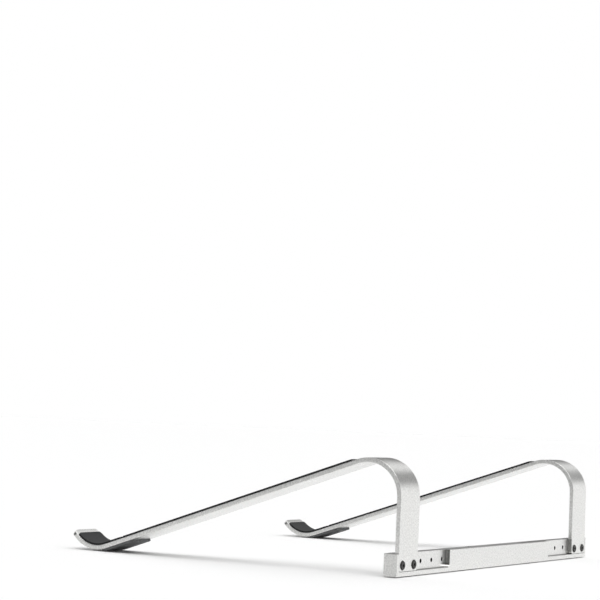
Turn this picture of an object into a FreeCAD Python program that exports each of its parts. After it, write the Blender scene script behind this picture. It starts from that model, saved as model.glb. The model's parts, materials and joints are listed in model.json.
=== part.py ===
import FreeCAD, Part
import math
import os

import Sketcher
from FreeCAD import Placement, Rotation, Vector

# A desk stand for a laptop. Two bent aluminium arms carry the laptop on rubber pads and stop its
# front edge in their hooks; both are screwed into milled recesses of one aluminium crossbar.
# The spare holes of a recess lie a little above the two that hold its arm's screws.
# Frame: +Z up, hooks at -Y, crossbar at +Y, origin on the desk under the middle of the footprint.

sizes = {
    # crossbar, a milled bar that lies along X
    "crossbar_length": 264.4,
    "crossbar_height": 12.0,
    "crossbar_depth": 8.0,
    "crossbar_edge": 0.25,
    "end_wall": 1.7,
    "recess_corner": 2.2,
    "ledge_height": 2.4,
    # tapped holes in each recess for an M2.5 thread, drawn as plain bores
    "hole_count": 5,
    "hole_pitch": 13.0,
    "hole_height": 5.9,
    "spare_hole_rise": 1.1,
    "tap_diameter": 2.4,
    "tap_depth": 4.4,
    "tap_chamfer": 0.1,
    # arms, one flat strip each
    "arm_width": 22.0,
    "strip_thickness": 2.5,
    "strip_edge": 0.3,
    "arm_height": 62.0,
    "arm_reach": 197.0,
    "rear_bend_radius": 20.2,
    "hook_bend_radius": 21.8,
    "hook_angle": 54.0,
    "hook_corner": 3.0,
    # raised countersunk screws with a hexagon socket
    "screw_length": 6.0,
    "screw_core": 2.3,
    "screw_shank": 2.45,
    "screw_head": 4.7,
    "screw_dome": 0.6,
    "dome_round": 0.5,
    "screw_chamfer": 0.3,
    "screw_rim": 0.3,
    "socket_width": 1.5,
    "socket_depth": 1.4,
    "screw_hole": 2.8,
    # rubber pads and feet
    "slope_pad_thickness": 1.2,
    "slope_pad_start": 4.0,
    "hook_pad_thickness": 1.2,
    "hook_pad_run": 12.0,
    "hook_pad_margin": 9.0,
    "pad_gap": 0.4,
    "foot_thickness": 1.2,
    "foot_run": 18.0,
    "foot_start": 9.0,
    "pad_inset": 0.5,
    "pad_corner": 2.0,
    "pad_edge": 0.3,
    "bar_foot_thickness": 0.5,
    "bar_foot_length": 20.0,
    "bar_foot_width": 5.0,
    "bar_foot_corner": 2.49,
    "bar_foot_spacing": 76.0,
    # clearances
    "side_clearance": 0.15,
    "seat_clearance": 0.05,
    "screw_clearance": 0.06,
}

document = FreeCAD.newDocument("laptop_stand")


def make_sheet():
    sheet = document.addObject("Spreadsheet::Sheet", "Sizes")
    for row, (alias, value) in enumerate(sizes.items(), start=1):
        sheet.set(f"A{row}", alias.replace("_", " "))
        sheet.set(f"B{row}", str(value))
        sheet.setAlias(f"B{row}", alias)
    document.recompute()
    return sheet


sheet = make_sheet()


def size(alias):
    return float(getattr(sheet, alias))


def origin_plane(body, role):
    return next(feature for feature in body.Origin.OriginFeatures if feature.Role == role)


def new_body(name):
    body = document.addObject("PartDesign::Body", name)
    body.Label = name
    return body


def new_sketch(body, name, role, offset=None):
    sketch = body.newObject("Sketcher::SketchObject", f"{body.Name}_{name}")
    sketch.AttachmentSupport = (origin_plane(body, role), [""])
    sketch.MapMode = "FlatFace"
    if offset:
        sketch.setExpression("AttachmentOffset.Base.z", offset)
    return sketch


def dimension(sketch, kind, places, expression):
    """Add a dimension between places of a sketch, driven by an expression on the sheet."""
    value = float(sketch.evalExpression(expression))
    index = sketch.addConstraint(Sketcher.Constraint(kind, *places, value))
    sketch.setExpression(f"Constraints[{index}]", expression)


def new_feature(body, kind, name, **settings):
    """Add a feature whose settings are numbers, objects, or expressions given as text."""
    feature = body.newObject(kind, f"{body.Name}_{name}")
    for setting, value in settings.items():
        if isinstance(value, str) and "Sizes." in value:
            feature.setExpression(setting, value)
        else:
            setattr(feature, setting, value)
    document.recompute()
    return feature


def edges_where(shape, test):
    return [f"Edge{index}" for index, edge in enumerate(shape.Edges, start=1) if test(edge)]


def along(edge, direction):
    """True for a straight edge that runs along a direction."""
    if edge.Degenerated or edge.Curve.TypeId != "Part::GeomLine":
        return False
    return abs(abs(edge.tangentAt(edge.FirstParameter).dot(direction)) - 1.0) < 1e-6


def is_circle(edge):
    return not edge.Degenerated and edge.Curve.TypeId == "Part::GeomCircle" and edge.isClosed()


def rectangle(sketch, left, bottom, width, height):
    """A rectangle whose four sizes are expressions; left and bottom are taken from the origin."""
    x, y, w, h = (float(sketch.evalExpression(each)) for each in (left, bottom, width, height))
    corners = [Vector(x, y, 0), Vector(x + w, y, 0), Vector(x + w, y + h, 0), Vector(x, y + h, 0)]
    lines = [Part.LineSegment(corners[i], corners[(i + 1) % 4]) for i in range(4)]
    first = sketch.addGeometry(lines, False)[0]
    for i in range(4):
        sketch.addConstraint(Sketcher.Constraint("Coincident", first + i, 2, first + (i + 1) % 4, 1))
    for i in range(4):
        direction = "Horizontal" if i % 2 == 0 else "Vertical"
        sketch.addConstraint(Sketcher.Constraint(direction, first + i))
    dimension(sketch, "DistanceX", (first, 1, first, 2), width)
    dimension(sketch, "DistanceY", (first + 1, 1, first + 1, 2), height)
    place_point(sketch, first, 1, left, bottom)


def place_point(sketch, item, place, x, y):
    """Tie a point to the sketch's origin; the order of the two points keeps each distance positive."""
    for kind, axis_constraint, expression in (("DistanceX", "Vertical", x), ("DistanceY", "Horizontal", y)):
        value = float(sketch.evalExpression(expression))
        if abs(value) < 1e-9:
            sketch.addConstraint(Sketcher.Constraint(axis_constraint, item, place, -1, 1))
        elif value > 0:
            dimension(sketch, kind, (-1, 1, item, place), expression)
        else:
            dimension(sketch, kind, (item, place, -1, 1), f"-({expression})")


def circle(sketch, x, y, diameter):
    centre = Vector(float(sketch.evalExpression(x)), float(sketch.evalExpression(y)), 0)
    radius = float(sketch.evalExpression(diameter)) / 2
    item = sketch.addGeometry(Part.Circle(centre, Vector(0, 0, 1), radius), False)
    dimension(sketch, "Diameter", (item,), diameter)
    place_point(sketch, item, 3, x, y)


# ---- the arm's curve, seen from the side: y runs to the rear and z up, both from the desk line
# under the crossbar's rear face. Every run is stated on the strip's upper face.

def foot_lift():
    """Height of the hook's lowest metal, so that the foot under it just reaches the desk."""
    radius = size("hook_bend_radius")
    return (radius + size("foot_thickness")) * math.cos(math.radians(size("foot_start"))) - radius


def arm_curve():
    """Centres of the two bends, the slope's angle, and the start and length of its straight run."""
    rear_radius = size("rear_bend_radius")
    hook_radius = size("hook_bend_radius") - size("strip_thickness")
    rear_centre = Vector(-rear_radius, size("arm_height") - rear_radius, 0)
    hook_centre = Vector(-size("arm_reach"), foot_lift() + size("hook_bend_radius"), 0)
    across = rear_centre - hook_centre
    slope = math.atan2(across.y, across.x) + math.asin((rear_radius + hook_radius) / across.Length)
    normal = Vector(-math.sin(slope), math.cos(slope), 0)
    forward = Vector(-math.cos(slope), -math.sin(slope), 0)
    start = rear_centre + normal * rear_radius
    length = math.sqrt(across.Length ** 2 - (rear_radius + hook_radius) ** 2)
    return {"rear": rear_centre, "hook": hook_centre, "slope": slope, "normal": normal,
            "forward": forward, "start": start, "length": length}


def leg_run(bottom):
    return {"kind": "line", "start": Vector(0, bottom, 0), "normal": Vector(1, 0, 0),
            "end": Vector(0, arm_curve()["rear"].y, 0)}


def bend_run(first, last):
    """Part of the rear bend, between two angles in degrees from its rearmost point."""
    return {"kind": "bend", "centre": arm_curve()["rear"], "angles": (first, last), "outward": 1,
            "radius": "Sizes.rear_bend_radius",
            "place": ("-Sizes.rear_bend_radius", "Sizes.arm_height - Sizes.rear_bend_radius")}


def slope_run(first, last):
    """Part of the straight slope, between two distances down from its top."""
    curve = arm_curve()
    return {"kind": "line", "start": curve["start"] + curve["forward"] * first,
            "normal": curve["normal"], "end": curve["start"] + curve["forward"] * last}


def hook_run(first, last):
    """Part of the hook's bend, between two angles in degrees forward of its lowest point."""
    lift = "((Sizes.hook_bend_radius + Sizes.foot_thickness) * cos(Sizes.foot_start))"
    return {"kind": "bend", "centre": arm_curve()["hook"], "angles": (-90 - last, -90 - first),
            "outward": -1, "radius": "Sizes.hook_bend_radius - Sizes.strip_thickness",
            "place": ("-Sizes.arm_reach", lift)}


def side_of(run, offset, sketch):
    """One run moved off the upper face: its geometry, and which of its ends comes first."""
    distance = float(sketch.evalExpression(offset))
    if run["kind"] == "line":
        shift = run["normal"] * distance
        return Part.LineSegment(run["start"] + shift, run["end"] + shift), 1, 2
    radius = float(sketch.evalExpression(run["radius"])) + run["outward"] * distance
    arc = Part.ArcOfCircle(Part.Circle(run["centre"], Vector(0, 0, 1), radius),
                           *(math.radians(angle) for angle in run["angles"]))
    return (arc, 1, 2) if run["outward"] > 0 else (arc, 2, 1)


def strip(name, runs, low, high, width):
    """A band of constant thickness along some runs, between two offsets from the upper face."""
    body = new_body(name)
    sketch = new_sketch(body, "outline", "YZ_Plane")
    chain = []
    for side, offset in enumerate((high, low)):
        travel = runs if side == 0 else runs[::-1]
        for run in travel:
            geometry, first, last = side_of(run, offset, sketch)
            if side == 1:
                first, last = last, first
            item = sketch.addGeometry(geometry, False)
            chain.append({"item": item, "first": first, "last": last, "side": side,
                          "run": run, "offset": offset})
    ends = [sketch.getPoint(link["item"], link[end]) for link, end in
            ((chain[len(runs) - 1], "last"), (chain[len(runs)], "first"),
             (chain[-1], "last"), (chain[0], "first"))]
    caps = [sketch.addGeometry(Part.LineSegment(*ends[:2]), False),
            sketch.addGeometry(Part.LineSegment(*ends[2:]), False)]
    for before, after in zip(chain, chain[1:]):
        if before["side"] == after["side"]:
            sketch.addConstraint(Sketcher.Constraint(
                "Tangent", before["item"], before["last"], after["item"], after["first"]))
    joints = ((chain[len(runs) - 1], "last", caps[0], 1), (chain[len(runs)], "first", caps[0], 2),
              (chain[-1], "last", caps[1], 1), (chain[0], "first", caps[1], 2))
    for link, end, cap, place in joints:
        sketch.addConstraint(Sketcher.Constraint("Coincident", link["item"], link[end], cap, place))
    for link in chain:
        run = link["run"]
        if run["kind"] == "bend":
            sign = "+" if run["outward"] > 0 else "-"
            dimension(sketch, "Radius", (link["item"],), f"{run['radius']} {sign} ({link['offset']})")
            place_point(sketch, link["item"], 3, *run["place"])
    pad = new_feature(body, "PartDesign::Pad", "strip", Profile=sketch, Midplane=True, Length=width)
    return body, pad


def round_edges(body, base, name, radius, test):
    """Round the edges of a feature that pass a test."""
    edges = edges_where(base.Shape, test)
    return new_feature(body, "PartDesign::Fillet", name, Base=(base, edges), Radius=radius)


def arm_foot():
    """Height of the arm's lower end, which stands on the ledge of its recess."""
    return size("bar_foot_thickness") + size("ledge_height") + size("side_clearance")


def end_edges(point, reach, direction):
    """A test for straight edges along a direction whose middle is near a point of the side view."""
    def test(edge):
        middle = edge.CenterOfMass
        near = math.hypot(middle.y - point.x, middle.z - point.y) < reach
        return near and along(edge, direction)
    return test


def arm_offset():
    return "Sizes.crossbar_length / 2 - Sizes.end_wall - Sizes.side_clearance - Sizes.arm_width / 2"


def place(body, x, z="0"):
    """Put a piece in the shared frame; the middle of the footprint lies at y = 0."""
    half_depth = "(Sizes.arm_reach + Sizes.hook_bend_radius * sin(Sizes.hook_angle) - Sizes.screw_dome) / 2"
    for axis, expression in (("x", x), ("y", half_depth), ("z", z)):
        body.setExpression(f"Placement.Base.{axis}", expression)
    document.recompute()


def make_arm(name, x):
    curve = arm_curve()
    runs = [leg_run(arm_foot()), bend_run(0, 90 + math.degrees(curve["slope"])),
            slope_run(0, curve["length"]), hook_run(-math.degrees(curve["slope"]), size("hook_angle"))]
    body, pad = strip(name, runs, "-Sizes.strip_thickness", "0", "Sizes.arm_width")
    foot = Vector(-size("strip_thickness") / 2, arm_foot(), 0)
    foot_corners = round_edges(body, pad, "foot_corners", "Sizes.recess_corner",
                               end_edges(foot, size("strip_thickness"), Vector(0, 1, 0)))
    angle = math.radians(size("hook_angle"))
    radial = Vector(-math.sin(angle), -math.cos(angle), 0)
    tip = curve["hook"] + radial * (size("hook_bend_radius") - size("strip_thickness") / 2)
    across_tip = Vector(0, radial.x, radial.y)
    tip_corners = round_edges(body, foot_corners, "tip_corners", "Sizes.hook_corner",
                              end_edges(tip, size("strip_thickness"), across_tip))
    rounded = round_edges(body, tip_corners, "long_edges", "Sizes.strip_edge",
                          lambda edge: not along(edge, across_tip) and not along(edge, Vector(0, 1, 0)))
    centres = new_sketch(body, "hole_centres", "XZ_Plane")
    for sign in ("-", "+"):
        circle(centres, f"{sign}Sizes.hole_pitch / 2", "Sizes.bar_foot_thickness + Sizes.hole_height",
               "Sizes.screw_hole")
    document.recompute()
    holes = new_feature(
        body, "PartDesign::Hole", "screw_holes", Profile=centres, DepthType="Dimension",
        Depth="2 * Sizes.strip_thickness", Diameter="Sizes.screw_hole", HoleCutType="Countersink",
        HoleCutCustomValues=True, HoleCutCountersinkAngle=90, Reversed=True,
        HoleCutDiameter="Sizes.screw_head + 2 * Sizes.screw_rim + 2 * Sizes.screw_clearance")
    require_cut(rounded, holes)
    place(body, x)


def require_cut(before, after):
    if not after.Shape.Volume < before.Shape.Volume - 1e-3:
        raise RuntimeError(f"{after.Name} removes nothing")


def recess_run():
    """Length of a recess: the arm fits at every neighbouring pair of its holes."""
    return "(Sizes.arm_width + (Sizes.hole_count - 2) * Sizes.hole_pitch + 2 * Sizes.side_clearance)"


def make_crossbar():
    body = new_body("crossbar")
    outline = new_sketch(body, "outline", "XZ_Plane")
    rectangle(outline, "-Sizes.crossbar_length / 2", "Sizes.bar_foot_thickness",
              "Sizes.crossbar_length", "Sizes.crossbar_height")
    block = new_feature(body, "PartDesign::Pad", "block", Profile=outline, Length="Sizes.crossbar_depth")
    rounded = round_edges(body, block, "edges", "Sizes.crossbar_edge", lambda edge: True)
    recess = new_sketch(body, "recesses", "XZ_Plane")
    bottom = "Sizes.bar_foot_thickness + Sizes.ledge_height"
    for left in ("-Sizes.crossbar_length / 2 + Sizes.end_wall",
                 f"Sizes.crossbar_length / 2 - Sizes.end_wall - {recess_run()}"):
        rectangle(recess, left, bottom, recess_run(), "Sizes.crossbar_height")
    pocket = new_feature(body, "PartDesign::Pocket", "recess_pocket", Profile=recess, Reversed=True,
                         Length="Sizes.strip_thickness + Sizes.seat_clearance")
    require_cut(rounded, pocket)
    floor_height = size("bar_foot_thickness") + size("ledge_height")
    corners = round_edges(
        body, pocket, "recess_corners", "Sizes.recess_corner",
        lambda edge: along(edge, Vector(0, 1, 0)) and abs(edge.CenterOfMass.z - floor_height) < 1e-3)
    centres = new_sketch(body, "hole_centres", "XZ_Plane", "Sizes.strip_thickness + Sizes.seat_clearance")
    for index in range(int(size("hole_count"))):
        run_in = f"({arm_offset()} + ({0.5 - index}) * Sizes.hole_pitch)"
        height = "Sizes.bar_foot_thickness + Sizes.hole_height"
        if index > 1:
            height += " + Sizes.spare_hole_rise"
        for sign in ("", "-"):
            circle(centres, sign + run_in, height, "Sizes.tap_diameter")
    document.recompute()
    holes = new_feature(body, "PartDesign::Pocket", "tapped_holes", Profile=centres, Reversed=True,
                        Length="Sizes.tap_depth")
    require_cut(corners, holes)
    mouth = -size("strip_thickness") - size("seat_clearance")
    rims = edges_where(holes.Shape, lambda edge: is_circle(edge) and abs(edge.CenterOfMass.y - mouth) < 1e-6)
    new_feature(body, "PartDesign::Chamfer", "hole_chamfers", Base=(holes, rims), Size="Sizes.tap_chamfer")
    place(body, "0")


def make_crossbar_foot(name, x):
    body = new_body(name)
    outline = new_sketch(body, "outline", "XY_Plane")
    rectangle(outline, "-Sizes.bar_foot_length / 2", "-Sizes.crossbar_depth / 2 - Sizes.bar_foot_width / 2",
              "Sizes.bar_foot_length", "Sizes.bar_foot_width")
    pad = new_feature(body, "PartDesign::Pad", "strip", Profile=outline, Length="Sizes.bar_foot_thickness")
    ends = round_edges(body, pad, "round_ends", "Sizes.bar_foot_corner",
                       lambda edge: along(edge, Vector(0, 0, 1)))
    round_edges(body, ends, "lower_edge", "Sizes.pad_edge / 2", lambda edge: edge.CenterOfMass.z < 1e-6)
    place(body, x)


def make_screw(name, x):
    body = new_body(name)
    profile = new_sketch(body, "profile", "YZ_Plane")
    cone = "(Sizes.screw_head - Sizes.screw_shank) / 2"
    corners = [("Sizes.screw_dome", "0"), ("Sizes.screw_dome", "Sizes.screw_head / 2"),
               ("-Sizes.screw_rim", "Sizes.screw_head / 2"),
               (f"-Sizes.screw_rim - {cone}", "Sizes.screw_shank / 2"),
               ("-Sizes.strip_thickness", "Sizes.screw_shank / 2"),
               ("-Sizes.strip_thickness", "Sizes.screw_core / 2"),
               ("-Sizes.screw_length + Sizes.screw_chamfer", "Sizes.screw_core / 2"),
               ("-Sizes.screw_length", "Sizes.screw_core / 2 - Sizes.screw_chamfer"), ("-Sizes.screw_length", "0")]
    polygon(profile, corners)
    turned = new_feature(body, "PartDesign::Revolution", "turned", Profile=profile,
                         ReferenceAxis=(profile, ["H_Axis"]), Angle=360.0)
    domed = round_edges(body, turned, "dome", "Sizes.dome_round",
                        lambda edge: is_circle(edge) and abs(edge.CenterOfMass.y - size("screw_dome")) < 1e-6)
    socket = new_sketch(body, "socket", "XZ_Plane", "-Sizes.screw_dome")
    side = "Sizes.socket_width / sqrt(3)"
    half = "Sizes.socket_width / 2"
    polygon(socket, [(side, "0"), (f"{side} / 2", half), (f"-{side} / 2", half),
                     (f"-{side}", "0"), (f"-{side} / 2", f"-{half}"), (f"{side} / 2", f"-{half}")])
    bored = new_feature(body, "PartDesign::Pocket", "socket_pocket", Profile=socket, Reversed=True,
                        Length="Sizes.socket_depth")
    require_cut(domed, bored)
    place(body, x, "Sizes.bar_foot_thickness + Sizes.hole_height")


def polygon(sketch, corners):
    """A closed outline through corners given as pairs of expressions."""
    points = [Vector(*(float(sketch.evalExpression(each)) for each in corner), 0) for corner in corners]
    count = len(points)
    lines = [Part.LineSegment(points[i], points[(i + 1) % count]) for i in range(count)]
    first = sketch.addGeometry(lines, False)[0]
    for i in range(count):
        sketch.addConstraint(Sketcher.Constraint("Coincident", first + i, 2, first + (i + 1) % count, 1))
    for i, corner in enumerate(corners):
        place_point(sketch, first + i, 1, *corner)


def make_rubber(name, x, runs, low, high):
    """A rubber strip bonded to the arm, with rounded corners."""
    body, pad = strip(name, runs, low, high, "Sizes.arm_width - 2 * Sizes.pad_inset")
    half_width = size("arm_width") / 2 - size("pad_inset")
    thickness = float(pad.evalExpression(f"({high}) - ({low})"))

    def end_corner(edge):
        at_side = abs(abs(edge.CenterOfMass.x) - half_width) < 1e-6
        return at_side and not edge.Degenerated and abs(edge.Length - thickness) < 1e-4

    round_edges(body, pad, "corners", "Sizes.pad_corner", end_corner)
    place(body, x)


def make_rest_pad(name, x):
    curve = arm_curve()
    end = curve["length"] - size("hook_pad_run") - size("pad_gap")
    runs = [slope_run(size("slope_pad_start"), end)]
    make_rubber(name, x, runs, "0", "Sizes.slope_pad_thickness")


def make_hook_pad(name, x):
    curve = arm_curve()
    start = curve["length"] - size("hook_pad_run")
    last = size("hook_angle") - size("hook_pad_margin")
    runs = [slope_run(start, curve["length"]), hook_run(-math.degrees(curve["slope"]), last)]
    make_rubber(name, x, runs, "0", "Sizes.hook_pad_thickness")


def make_front_foot(name, x):
    curve = arm_curve()
    runs = [slope_run(curve["length"] - size("foot_run"), curve["length"]),
            hook_run(-math.degrees(curve["slope"]), -size("foot_start"))]
    make_rubber(name, x, runs, "-Sizes.strip_thickness - Sizes.foot_thickness", "-Sizes.strip_thickness")


make_crossbar()
for side, sign in (("right", ""), ("left", "-")):
    arm_x = f"{sign}({arm_offset()})"
    make_arm(f"{side}_arm", arm_x)
    make_rest_pad(f"{side}_rest_pad", arm_x)
    make_hook_pad(f"{side}_hook_pad", arm_x)
    make_front_foot(f"{side}_front_foot", arm_x)
    make_screw(f"{side}_outer_screw", f"{sign}({arm_offset()} + Sizes.hole_pitch / 2)")
    make_screw(f"{side}_inner_screw", f"{sign}({arm_offset()} - Sizes.hole_pitch / 2)")
    for place_name, step in (("outer", 1.5), ("inner", 0.5)):
        make_crossbar_foot(f"{side}_{place_name}_crossbar_foot", f"{sign}{step} * Sizes.bar_foot_spacing")

document.recompute()
for item in document.Objects:
    if any(word in item.State for word in ("Invalid", "Error")):
        raise RuntimeError(f"{item.Name} is {item.State}")

os.makedirs("parts", exist_ok=True)
for item in document.Objects:
    if item.TypeId != "PartDesign::Body":
        continue
    shape = item.Shape
    if shape.isNull() or not shape.isValid() or len(shape.Solids) != 1:
        raise RuntimeError(f"{item.Label} is not one valid solid")
    shape.exportStep(f"parts/{item.Label}.step")
    print(item.Label, round(shape.Volume, 2))
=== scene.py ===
import json
import bmesh
import bpy
import numpy as np
from mathutils import Matrix, Vector

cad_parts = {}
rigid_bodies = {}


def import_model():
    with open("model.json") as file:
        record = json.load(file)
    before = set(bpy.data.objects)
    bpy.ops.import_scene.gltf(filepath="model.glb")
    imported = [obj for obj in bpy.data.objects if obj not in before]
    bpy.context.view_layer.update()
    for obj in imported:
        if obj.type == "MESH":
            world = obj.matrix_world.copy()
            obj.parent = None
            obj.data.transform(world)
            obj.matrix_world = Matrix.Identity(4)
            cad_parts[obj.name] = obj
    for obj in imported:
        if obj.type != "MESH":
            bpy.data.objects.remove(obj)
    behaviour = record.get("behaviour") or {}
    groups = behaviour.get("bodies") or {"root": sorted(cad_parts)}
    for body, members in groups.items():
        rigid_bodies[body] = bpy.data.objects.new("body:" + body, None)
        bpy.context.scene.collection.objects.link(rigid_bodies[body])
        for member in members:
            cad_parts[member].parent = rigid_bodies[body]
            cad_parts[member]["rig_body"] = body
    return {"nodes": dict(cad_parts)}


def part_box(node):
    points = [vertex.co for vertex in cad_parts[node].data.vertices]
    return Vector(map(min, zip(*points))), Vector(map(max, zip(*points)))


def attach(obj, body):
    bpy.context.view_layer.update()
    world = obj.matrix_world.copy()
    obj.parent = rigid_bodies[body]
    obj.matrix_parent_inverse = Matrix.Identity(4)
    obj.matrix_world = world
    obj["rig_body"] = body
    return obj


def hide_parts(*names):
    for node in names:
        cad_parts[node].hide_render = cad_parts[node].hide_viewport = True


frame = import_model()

mm = 0.001
noiseLow, noiseHigh, noiseDetail = 0.3, 0.7, 3.0  # low and high: where nearly all of a noise's values lie
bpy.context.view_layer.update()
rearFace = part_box("crossbar")[1].y  # the legs' rear faces are flush with the crossbar's


# sRGB hex to linear: c / 12.92 below 0.04045, else ((c + 0.055) / 1.055) ^ 2.4
def hexColour(text):
    parts = np.array([int(text[i:i + 2], 16) / 255 for i in (1, 3, 5)])
    linear = np.where(parts < 0.04045, parts / 12.92, ((parts + 0.055) / 1.055) ** 2.4)
    return (*linear.tolist(), 1.0)


# one node with its settings; each value fills the input of that name or number, by a constant or by a link
# (a colour mix has its share at input 0 and its two colours at 6 and 7)
def addNode(tree, kind, values=None, **settings):
    node = tree.nodes.new(kind)
    for name, value in settings.items():
        setattr(node, name, value)
    for name, value in (values or {}).items():
        socket = node.inputs[name]
        if isinstance(value, bpy.types.NodeSocket):
            tree.links.new(value, socket)
        else:
            socket.default_value = value
    return node


# an empty material tree and the Object coordinates its patterns use
def newMaterial(name):
    material = bpy.data.materials.new(name)
    material.use_nodes = True
    tree = material.node_tree
    tree.nodes.clear()
    return material, tree, addNode(tree, "ShaderNodeTexCoord").outputs["Object"]


# the last two nodes of a material
def finishMaterial(tree, values):
    shader = addNode(tree, "ShaderNodeBsdfPrincipled", values)
    addNode(tree, "ShaderNodeOutputMaterial", {"Surface": shader.outputs["BSDF"]})


# a mesh object at the origin, with its faces turned outwards
def makeMesh(name, points, faces, material, smooth=True):
    mesh = bpy.data.meshes.new(name)
    mesh.from_pydata(points.tolist(), [], faces)
    work = bmesh.new()
    work.from_mesh(mesh)
    bmesh.ops.recalc_face_normals(work, faces=work.faces)
    work.to_mesh(mesh)
    work.free()
    mesh.polygons.foreach_set("use_smooth", np.full(len(mesh.polygons), smooth))
    mesh.materials.append(material)
    mesh.update()
    piece = bpy.data.objects.new(name, mesh)
    bpy.context.scene.collection.objects.link(piece)
    return piece


# quads of a grid of rows, closed round its columns, and one face over each end row
def tubeFaces(rows, columns):
    row, column = np.meshgrid(np.arange(rows - 1), np.arange(columns), indexing="ij")
    after = (column + 1) % columns
    quads = np.stack([row * columns + column, row * columns + after,
                      (row + 1) * columns + after, (row + 1) * columns + column], axis=-1)
    ends = [list(range(columns)), list(range((rows - 1) * columns, rows * columns))]
    return quads.reshape(-1, 4).tolist() + ends


# put a finished piece in its CAD node's place; shading stays crisp where faces meet at more than the angle
def standInFor(node, piece, creaseAngle):
    edges = piece.modifiers.new("edges", "EDGE_SPLIT")
    edges.split_angle = np.radians(creaseAngle)
    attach(piece, frame["nodes"][node]["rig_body"])
    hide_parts(node)


# Clear anodised aluminium sheet and bar, bead-blasted first: an even satin grey-white with a fine sparkle.
# Blast dimples are about 0.1 mm; they are drawn at 0.9 mm so that they show. Painted shade: in the tapped
# holes, at the recess ends, along the ledge line and on each leg's inner side face where it sits in the
# recess, the colour turns to a darker tone with upright streaks 0.5 mm apart; nothing is cut on the leg's
# side face.
aluminiumLook = {"light": "#F2F2F0", "dark": "#D5D5D3", "grainMm": 0.9, "cloudMm": 18.0,
                 "roughness": (0.27, 0.33), "paintedShadeDark": "#2A2A2A", "paintedShadeLight": "#545452",
                 "markMm": 0.5, "markStretch": 0.04, "shadeSoftMm": 0.1, "bumpStrength": 0.35, "bumpMm": 0.02}
# where the painted shade goes, in millimetres: |x|, depth from the rear face and height
barPaintedShade = {
    "tappedHoles": {"x": (60, 131), "depth": (2.72, 7.4), "z": (5.0, 8.9), "strength": 1.0},
    "recessEnd": {"x": (69.05, 69.4), "depth": (0.1, 2.7), "z": (2.7, 12.6), "strength": 0.72},
    "recessLedge": {"x": (69.2, 130.4), "depth": (0.15, 2.7), "z": (2.8, 3.25), "strength": 0.55},
}
# painted shade on each leg's inner side face where it sits in the recess; the face itself isn't cut
armPaintedShade = {"seatedEnd": {"x": (108.1, 108.45), "depth": (0.1, 2.6), "z": (2.7, 12.3), "strength": 0.62}}


# painted shade mask: the largest of several boxes; each box is its strength times a 0-to-1 band with soft
# ends along every axis
def paintedShadeMask(tree, place, shadeBoxes):
    parts = addNode(tree, "ShaderNodeSeparateXYZ", {0: place}).outputs
    across = addNode(tree, "ShaderNodeMath", {0: parts["X"]}, operation="ABSOLUTE").outputs[0]
    depth = addNode(tree, "ShaderNodeMath", {0: rearFace, 1: parts["Y"]}, operation="SUBTRACT").outputs[0]
    soft, strongest = aluminiumLook["shadeSoftMm"], 0.0
    for cut in shadeBoxes.values():
        inside = cut["strength"]
        for value, axis in ((across, "x"), (depth, "depth"), (parts["Z"], "z")):
            low, high = cut[axis]
            for start, end in ((low - soft, low), (high + soft, high)):
                edge = addNode(tree, "ShaderNodeMapRange", {
                    "Value": value, "From Min": start * mm, "From Max": end * mm}).outputs[0]
                inside = addNode(tree, "ShaderNodeMath", {
                    0: inside, 1: edge}, operation="MULTIPLY").outputs[0]
        strongest = addNode(tree, "ShaderNodeMath", {
            0: strongest, 1: inside}, operation="MAXIMUM").outputs[0]
    return strongest


def clearAnodisedAluminium(name, shadeBoxes):
    look = aluminiumLook
    material, tree, place = newMaterial(name)
    grain = addNode(tree, "ShaderNodeTexNoise", {
        "Vector": place, "Scale": 1 / (look["grainMm"] * mm), "Detail": noiseDetail}).outputs["Fac"]
    cloud = addNode(tree, "ShaderNodeTexNoise", {
        "Vector": place, "Scale": 1 / (look["cloudMm"] * mm)}).outputs["Fac"]
    drawn = addNode(tree, "ShaderNodeVectorMath", {
        0: place, 1: (1.0, 1.0, look["markStretch"])}, operation="MULTIPLY").outputs[0]
    mark = addNode(tree, "ShaderNodeTexNoise", {
        "Vector": drawn, "Scale": 1 / (look["markMm"] * mm)}).outputs["Fac"]
    shades = []
    for pattern, dark, light in ((grain, "dark", "light"), (mark, "paintedShadeDark", "paintedShadeLight")):
        share = addNode(tree, "ShaderNodeMapRange", {
            "Value": pattern, "From Min": noiseLow, "From Max": noiseHigh}).outputs[0]
        shades.append(addNode(tree, "ShaderNodeMix", {
            0: share, 6: hexColour(look[dark]), 7: hexColour(look[light])}, data_type="RGBA").outputs[2])
    # painted shade: the mask swaps the blasted grain for the darker streaked tone
    colour = addNode(tree, "ShaderNodeMix", {
        0: paintedShadeMask(tree, place, shadeBoxes), 6: shades[0], 7: shades[1]}, data_type="RGBA").outputs[2]
    low, high = look["roughness"]
    rough = addNode(tree, "ShaderNodeMapRange", {
        "Value": cloud, "From Min": noiseLow, "From Max": noiseHigh,
        "To Min": low, "To Max": high}).outputs[0]
    dimples = addNode(tree, "ShaderNodeBump", {
        "Height": grain, "Strength": look["bumpStrength"], "Distance": look["bumpMm"] * mm}).outputs[0]
    finishMaterial(tree, {"Metallic": 1.0, "Base Color": colour, "Roughness": rough, "Normal": dimples})
    return material


# Silicone rubber, die-cut or moulded: matt, with a fine grain of about half a millimetre.
rubberLooks = {
    "blackSiliconeRubber": {"dark": "#141516", "light": "#1C1D1F", "grainMm": 0.5, "roughness": (0.54, 0.66),
                            "bumpStrength": 0.5, "bumpMm": 0.03},
    "greySiliconeRubber": {"dark": "#5E5F60", "light": "#6B6C6D", "grainMm": 0.5, "roughness": (0.59, 0.71),
                           "bumpStrength": 0.5, "bumpMm": 0.03},
}
# Alloy steel screws in black oxide and oil: near black, with a soft metallic gloss and faint stains.
steelLook = {"dark": "#343434", "light": "#4E4E4D", "grainMm": 0.6, "roughness": (0.32, 0.46),
             "bumpStrength": 0.3, "bumpMm": 0.01}


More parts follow.
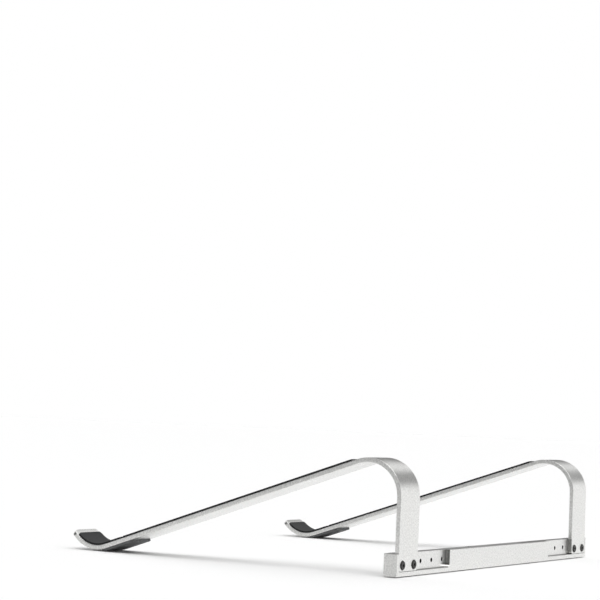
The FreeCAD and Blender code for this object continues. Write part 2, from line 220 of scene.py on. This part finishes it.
# one noise drives the colour, the roughness and the relief
def grainedMaterial(name, look, constants):
    material, tree, place = newMaterial(name)
    grain = addNode(tree, "ShaderNodeTexNoise", {
        "Vector": place, "Scale": 1 / (look["grainMm"] * mm), "Detail": noiseDetail}).outputs["Fac"]
    share = addNode(tree, "ShaderNodeMapRange", {
        "Value": grain, "From Min": noiseLow, "From Max": noiseHigh}).outputs[0]
    colour = addNode(tree, "ShaderNodeMix", {
        0: share, 6: hexColour(look["dark"]), 7: hexColour(look["light"])}, data_type="RGBA").outputs[2]
    low, high = look["roughness"]
    rough = addNode(tree, "ShaderNodeMapRange", {"Value": share, "To Min": low, "To Max": high}).outputs[0]
    relief = addNode(tree, "ShaderNodeBump", {
        "Height": grain, "Strength": look["bumpStrength"], "Distance": look["bumpMm"] * mm}).outputs[0]
    finishMaterial(tree, {"Base Color": colour, "Roughness": rough, "Normal": relief, **constants})
    return material


barAluminium = clearAnodisedAluminium("clearAnodisedBar", barPaintedShade)
armAluminium = clearAnodisedAluminium("clearAnodisedStrip", armPaintedShade)
blackRubber, greyRubber = [grainedMaterial(name, look, {"IOR": 1.45}) for name, look in rubberLooks.items()]
blackSteel = grainedMaterial("blackOxideSteel", steelLook, {"Metallic": 1.0})

for name, node in frame["nodes"].items():
    node.data.materials.clear()
    node.data.materials.append(barAluminium if name == "crossbar" else armAluminium)
print("materials done")


# the bent strip's side view in millimetres: y from the legs' rear face, negative forwards; z from the desk
armShape = {"height": 62.0, "reach": 197.0, "rearRadius": 20.2, "hookRadius": 21.8, "thickness": 2.5,
            "footThickness": 1.2, "footAngle": 9.0}


# the slope is the line that touches the rear bend from above and the hook's upper face from below; the front
# foot stands on its end, the foot angle short of the hook's lowest point, which sets how high the hook is
def armLines():
    shape = armShape
    inner = shape["hookRadius"] - shape["thickness"]
    lift = (shape["hookRadius"] + shape["footThickness"]) * np.cos(np.radians(shape["footAngle"]))
    rear = np.array([-shape["rearRadius"], shape["height"] - shape["rearRadius"]])
    hook = np.array([-shape["reach"], lift])
    span, radii = rear - hook, shape["rearRadius"] + inner
    reach = np.hypot(*span)
    angle = np.arctan2(span[1], span[0]) + np.arcsin(radii / reach)
    normal = np.array([-np.sin(angle), np.cos(angle)])
    return {"hook": hook, "inner": inner, "angle": angle, "normal": normal,
            "forward": np.array([-np.cos(angle), -np.sin(angle)]),
            "start": rear + normal * shape["rearRadius"], "length": np.sqrt(reach ** 2 - radii ** 2)}


lines = armLines()


# points and normals of the upper face at distances down from the slope's top:
# start + distance * forward on the slope, then hook centre - radius * (sin turn, cos turn) round the hook
def alongStrip(distance):
    slope = lines["start"] + np.minimum(distance, lines["length"])[:, None] * lines["forward"]
    turn = np.maximum(distance - lines["length"], 0) / lines["inner"] - lines["angle"]
    inwards = np.stack([np.sin(turn), np.cos(turn)], axis=1)
    past = (distance > lines["length"])[:, None]
    return (np.where(past, lines["hook"] - lines["inner"] * inwards, slope),
            np.where(past, inwards, lines["normal"]))


# how much a quarter round of that radius lacks at a distance from its end: radius - sqrt(radius^2 - inside^2)
def shoulder(distance, radius):
    inside = np.clip(radius - distance, 0, radius)
    return radius - np.sqrt(radius ** 2 - inside ** 2)


# "from" and "to" are millimetres down the strip, negative ones counted back from the slope's lower end;
# "turn" is an end on the hook instead, in degrees past its lowest point
rubberStrips = {
    "rest_pad": {"from": 4.0, "to": -12.4, "upper": True, "thickness": 1.2, "slot": "black_rubber"},
    "hook_pad": {"from": -12.0, "turn": 45.0, "upper": True, "thickness": 1.2, "slot": "black_rubber"},
    "front_foot": {"from": -18.0, "turn": -armShape["footAngle"], "upper": False,
                   "thickness": armShape["footThickness"], "slot": "grey_rubber"},
}
stripShape = {"halfWidth": 10.5, "corner": 2.0, "edge": 0.3, "crown": 0.05, "creaseAngle": 50,
              "stations": 90, "across": 13, "arc": 6}


# a section of (across, height) carried along the strip: flat below, a quarter round at each upper edge, and a
# top that falls by crown * across^2; the width and the thickness shrink by a shoulder near both ends
def makeRubberStrip(node, strip):
    shape = stripShape
    low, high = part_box(node)
    first = strip["from"] + (0 if strip["from"] > 0 else lines["length"])
    last = lines["length"] + (strip["to"] if "to" in strip else
                              (lines["angle"] + np.radians(strip["turn"])) * lines["inner"])
    distance = first + (last - first) * (1 - np.cos(np.linspace(0, np.pi, shape["stations"]))) / 2
    toEnd = np.minimum(distance - first, last - distance)
    width = shape["halfWidth"] - shoulder(toEnd, shape["corner"])
    thick = strip["thickness"] - shoulder(toEnd, shape["edge"])
    arc = np.linspace(0, np.pi / 2, shape["arc"])
    flat = np.linspace(-1, 1, shape["across"] + 2)[1:-1]
    level, foot, base = np.ones(len(flat)), np.zeros(1), np.zeros(len(flat))
    share = np.concatenate([-np.ones(1 + len(arc)), flat, np.ones(len(arc) + 1), flat[::-1]])
    inset = np.concatenate([foot, 1 - np.cos(arc), level, 1 - np.cos(arc[::-1]), foot, base])
    top = np.concatenate([foot, np.ones(len(arc)), level, np.ones(len(arc)), foot, base])
    drop = np.concatenate([foot, 1 - np.sin(arc), 0 * level, 1 - np.sin(arc[::-1]), foot, base])
    crown = np.concatenate([np.zeros(1 + len(arc)), 1 - flat ** 2, np.zeros(len(arc) + 1), base])
    x = (low.x + high.x) / 2 + share * (width[:, None] - shape["edge"] * inset) * mm
    height = thick[:, None] * top - shape["edge"] * drop - shape["crown"] * (1 - crown) * top
    spine, normal = alongStrip(distance)
    if not strip["upper"]:
        spine, normal = spine - normal * armShape["thickness"], -normal
    spots = spine[:, None, :] + normal[:, None, :] * height[:, :, None]
    points = np.stack([x, rearFace + spots[..., 0] * mm, spots[..., 1] * mm], axis=-1).reshape(-1, 3)
    piece = makeMesh(f"moulded_{node}", points, tubeFaces(shape["stations"], len(share)),
                     blackRubber if strip["upper"] else greyRubber)
    standInFor(node, piece, shape["creaseAngle"])


for side in ("right", "left"):
    for kind, strip in rubberStrips.items():
        makeRubberStrip(f"{side}_{kind}", strip)
print("rubber strips done")


barFootShape = {"edge": 0.15, "columns": 96, "rows": 6, "creaseAngle": 50}


# a flat strip with round ends, (side * (half length - r) + r cos a, r sin a), whose lower rim is rounded
def makeBarFoot(node):
    shape = barFootShape
    low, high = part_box(node)
    radius, half = (high.y - low.y) / 2, (high.x - low.x) / 2
    angle = np.linspace(0, 2 * np.pi, shape["columns"], endpoint=False) + np.pi / shape["columns"]
    arc = np.linspace(0, np.pi / 2, shape["rows"])
    inset = np.concatenate([[0, 0], shape["edge"] * mm * (1 - np.cos(arc))])
    height = np.concatenate([[high.z, (high.z + low.z) / 2], low.z + shape["edge"] * mm * (1 - np.sin(arc))])
    reach = radius - inset[:, None]
    x = (low.x + high.x) / 2 + np.sign(np.cos(angle)) * (half - radius) + reach * np.cos(angle)
    y = (low.y + high.y) / 2 + reach * np.sin(angle)
    points = np.stack([x, y, np.broadcast_to(height[:, None], x.shape)], axis=-1).reshape(-1, 3)
    piece = makeMesh(f"moulded_{node}", points, tubeFaces(len(height), shape["columns"]), greyRubber)
    standInFor(node, piece, shape["creaseAngle"])


for node in sorted(frame["nodes"]):
    if node.endswith("_crossbar_foot"):
        makeBarFoot(node)
print("crossbar feet done")


# millimetres, apart from the shares, the ridge's gain and offset, the counts and the angle. Depths are
# measured forwards from the legs' rear face, and the head's dome stands proud of it. The tip is (share of the
# core's radius, distance short of the end) for each row.
screwShape = {
    "headRadius": 2.35, "dome": 0.6, "domeRound": 0.5, "domeRows": 10, "rim": 0.3, "rimBreak": (0.06, 0.05),
    "socketWidth": 1.6, "socketDepth": 0.8, "socketCone": 0.25, "coneShares": (0.02, 0.5, 0.97),
    "cornerGap": 0.03, "socketChamfer": 0.12, "mouthShare": 1.15, "mouthChamfer": 0.04,
    "mouthDepthShare": 0.35, "mouthRim": 0.16,
    "shankRadius": 1.2, "length": 6.0, "stripThickness": armShape["thickness"],
    "threadPitch": 0.45, "threadRadius": 1.18, "coreRadius": 1.0, "threadRunIn": 0.02, "threadRunOut": 0.3,
    "ridgeGain": 1.3, "ridgeOffset": 0.1, "tip": ((0.95, 0.25), (0.72, 0.02), (0.02, 0.0)),
    "columns": 72, "rowsPerTurn": 12, "creaseAngle": 38,
}


# a turned profile, one (radius, depth) for each row. The socket's rows follow a hexagon, half width / cos of
# the angle to its nearest flat, and the thread's rows add a ridge that climbs one pitch each turn.
def makeScrew(node):
    shape = screwShape
    low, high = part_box(node)
    centreX, centreZ = (low.x + high.x) / 2, (low.z + high.z) / 2
    angle = np.linspace(0, 2 * np.pi, shape["columns"], endpoint=False)
    half, top, chamfer = shape["socketWidth"] / 2, -shape["dome"], shape["socketChamfer"]
    wall = half / np.cos((angle + np.pi / 6) % (np.pi / 3) - np.pi / 6)
    mouth = half * shape["mouthShare"]
    rows = [(wall * share, shape["socketDepth"] + shape["socketCone"] * (1 - share))
            for share in shape["coneShares"]]
    rows += [(wall, shape["socketDepth"] - shape["cornerGap"]), (wall, top + chamfer),
             (np.maximum(wall, mouth) + shape["mouthChamfer"], top + chamfer * shape["mouthDepthShare"]),
             (mouth + shape["mouthRim"], top)]
    head, bend = shape["headRadius"], shape["domeRound"]
    rows += [(head - bend + bend * np.sin(turn), top + bend - bend * np.cos(turn))
             for turn in np.linspace(0, np.pi / 2, shape["domeRows"])]
    rows += [(head, shape["rim"]), (head - shape["rimBreak"][0], shape["rim"] + shape["rimBreak"][1]),
             (shape["shankRadius"], shape["rim"] + head - shape["shankRadius"]),
             (shape["shankRadius"], shape["stripThickness"])]
    depth = np.arange(shape["stripThickness"] + shape["threadRunIn"], shape["length"] - shape["threadRunOut"],
                      shape["threadPitch"] / shape["rowsPerTurn"])
    phase = (depth[:, None] / shape["threadPitch"] - angle / (2 * np.pi)) % 1.0
    ridge = np.clip(shape["ridgeGain"] * (1 - np.abs(2 * phase - 1)) - shape["ridgeOffset"], 0, 1)
    rows += list(zip(shape["coreRadius"] + (shape["threadRadius"] - shape["coreRadius"]) * ridge, depth))
    rows += [(shape["coreRadius"] * share, shape["length"] - short) for share, short in shape["tip"]]
    radius = np.stack([np.broadcast_to(each, angle.shape) for each, _ in rows]) * mm
    depths = np.stack([np.full(angle.shape, each) for _, each in rows]) * mm
    points = np.stack([centreX + radius * np.cos(angle), rearFace - depths,
                       centreZ + radius * np.sin(angle)], axis=-1).reshape(-1, 3)
    piece = makeMesh(f"turned_{node}", points, tubeFaces(len(rows), shape["columns"]), blackSteel)
    standInFor(node, piece, shape["creaseAngle"])


for node in sorted(frame["nodes"]):
    if node.endswith("_screw"):
        makeScrew(node)
print("screws done")


# White background paper: matt, with a faint tooth of 1.5 mm.
paperLook = {"dark": "#FBFBFB", "light": "#FEFEFE", "grainMm": 1.5, "roughness": (0.88, 0.92),
             "bumpStrength": 0.1, "bumpMm": 0.01, "halfMetres": 30.0}


# one square, so wide that no edge shows
def makeFloor():
    half = paperLook["halfMetres"]
    points = np.array([(-half, -half, 0), (half, -half, 0), (half, half, 0), (-half, half, 0)])
    paper = grainedMaterial("seamlessPaper", paperLook, {"Specular IOR Level": 0.2})
    makeMesh("floor", points, [[0, 1, 2, 3]], paper, smooth=False)


# a broad sun from above, right and behind keeps the paper white and throws a soft shadow forwards
sunSetup = {"from": (0.35, 0.45, 1.0), "angle": 50.0, "strength": 1.0}


def makeSun():
    data = bpy.data.lights.new("sun", "SUN")
    data.energy = sunSetup["strength"]
    data.angle = np.radians(sunSetup["angle"])
    sun = bpy.data.objects.new("sun", data)
    bpy.context.scene.collection.objects.link(sun)
    sun.rotation_mode = "QUATERNION"
    sun.rotation_quaternion = Vector(sunSetup["from"]).to_track_quat("Z", "Y")


# black flags round the studio, placed for the camera's view: how much light each takes away, and the angles
# in degrees over which that fades out
studioFlags = {
    "rightFront": {"towards": (0.87, -0.49, 0.05), "amount": 1.0, "inner": 42, "outer": 62},
    "leftFront": {"towards": (-0.87, -0.46, 0.17), "amount": 0.95, "inner": 10, "outer": 26},
    "leftRear": {"towards": (-0.87, 0.275, 0.406), "amount": 0.85, "inner": 6, "outer": 16},
    "rightRear": {"towards": (0.87, 0.49, 0.08), "amount": 1.0, "inner": 24, "outer": 42},
}


# white behind the scene; what lights it is 1 less the sum of the flags, each a smooth step of the cosine
# between a direction and the flag's own
def makeWorld():
    world = bpy.data.worlds.new("studio")
    bpy.context.scene.world = world
    world.use_nodes = True
    tree = world.node_tree
    tree.nodes.clear()
    direction = addNode(tree, "ShaderNodeTexCoord").outputs["Generated"]
    level = 1.0
    for flag in studioFlags.values():
        facing = addNode(tree, "ShaderNodeVectorMath", {
            0: direction, 1: Vector(flag["towards"]).normalized()}, operation="DOT_PRODUCT").outputs["Value"]
        shade = addNode(tree, "ShaderNodeMapRange", {
            "Value": facing, "From Min": np.cos(np.radians(flag["outer"])),
            "From Max": np.cos(np.radians(flag["inner"])), "To Max": flag["amount"]},
            interpolation_type="SMOOTHSTEP").outputs[0]
        level = addNode(tree, "ShaderNodeMath", {0: level, 1: shade}, operation="SUBTRACT").outputs[0]
    seen = addNode(tree, "ShaderNodeLightPath").outputs["Is Camera Ray"]
    strength = addNode(tree, "ShaderNodeMath", {0: level, 1: seen}, operation="MAXIMUM").outputs[0]
    soft = addNode(tree, "ShaderNodeBackground", {"Color": hexColour("#FFFFFF"), "Strength": strength})
    addNode(tree, "ShaderNodeOutputWorld", {"Surface": soft.outputs[0]})


# to the right of the stand and behind it, 77 mm above the desk. The azimuth turns the view from -Y towards
# -X, the tilt raises it and the roll turns it round itself, all in degrees; the lens is in millimetres.
cameraSetup = {"at": (0.9722, 0.5406, 0.0774), "azimuth": 59.28, "tilt": 3.985, "roll": 2.43,
               "lens": 107.8, "sensorWidth": 36.0, "clipStart": 0.01}


def makeCamera():
    setup = cameraSetup
    data = bpy.data.cameras.new("camera")
    data.lens = setup["lens"]
    data.sensor_width = setup["sensorWidth"]
    data.clip_start = setup["clipStart"]
    camera = bpy.data.objects.new("camera", data)
    bpy.context.scene.collection.objects.link(camera)
    turn, tilt, roll = np.radians([setup["azimuth"], setup["tilt"], setup["roll"]])
    level = np.array([-np.sin(turn), -np.cos(turn), 0.0])
    right = np.array([-np.cos(turn), np.sin(turn), 0.0])
    up = np.array([0.0, 0.0, 1.0])
    forward = level * np.cos(tilt) + up * np.sin(tilt)
    upright = up * np.cos(tilt) - level * np.sin(tilt)
    rightRolled = right * np.cos(roll) + upright * np.sin(roll)
    upRolled = upright * np.cos(roll) - right * np.sin(roll)
    axes = Matrix(np.stack([rightRolled, upRolled, -forward], axis=1).tolist()).to_4x4()
    axes.translation = Vector(setup["at"])
    camera.matrix_world = axes
    bpy.context.scene.camera = camera


makeFloor()
makeWorld()
makeSun()
makeCamera()
bpy.context.scene.view_settings.view_transform = "Standard"
print("studio done")
